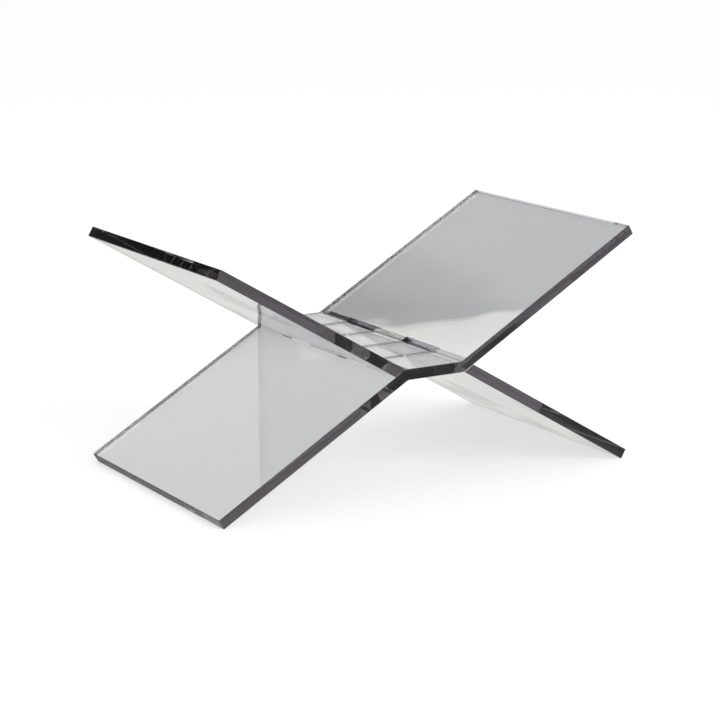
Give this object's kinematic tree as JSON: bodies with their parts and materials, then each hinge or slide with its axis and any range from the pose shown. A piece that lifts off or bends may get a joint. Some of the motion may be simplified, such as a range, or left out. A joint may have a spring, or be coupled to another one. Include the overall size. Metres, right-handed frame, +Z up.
{
  "type": "folding bookstand",
  "caption": "Low X-shaped folding stand of bent smoke acrylic sheet that holds an open book; its two leaves interleave at the spine and close flat.",
  "frame": {"origin": "on the table, midway between the two feet and midway along the spine", "axes": "+X across the open book towards the slotted leaf's wing, +Y along the spine away from the reader's near end, +Z up"},
  "size_m": [0.4404, 0.25, 0.2252],
  "materials": {
    "smoke_acrylic": "polished clear sheet with a light neutral smoke tint",
    "cement": "cured clear acrylic cement"
  },
  "bodies": {
    "slotted_leaf": {"slotted_leaf": "smoke_acrylic"},
    "tongue_leaf": {"tongue_leaf_wing": "smoke_acrylic", "tongue_leaf_foot": "smoke_acrylic", "cement_joint_near": "cement", "cement_joint_far": "cement"}
  },
  "joints": [
    {"name": "spine_fold", "type": "hinge", "parent": "slotted_leaf", "child": "tongue_leaf", "pos_m": [0, 0, 0.11258], "axis": [0, 1, 0], "range_deg": [0, 124.5]}
  ]
}
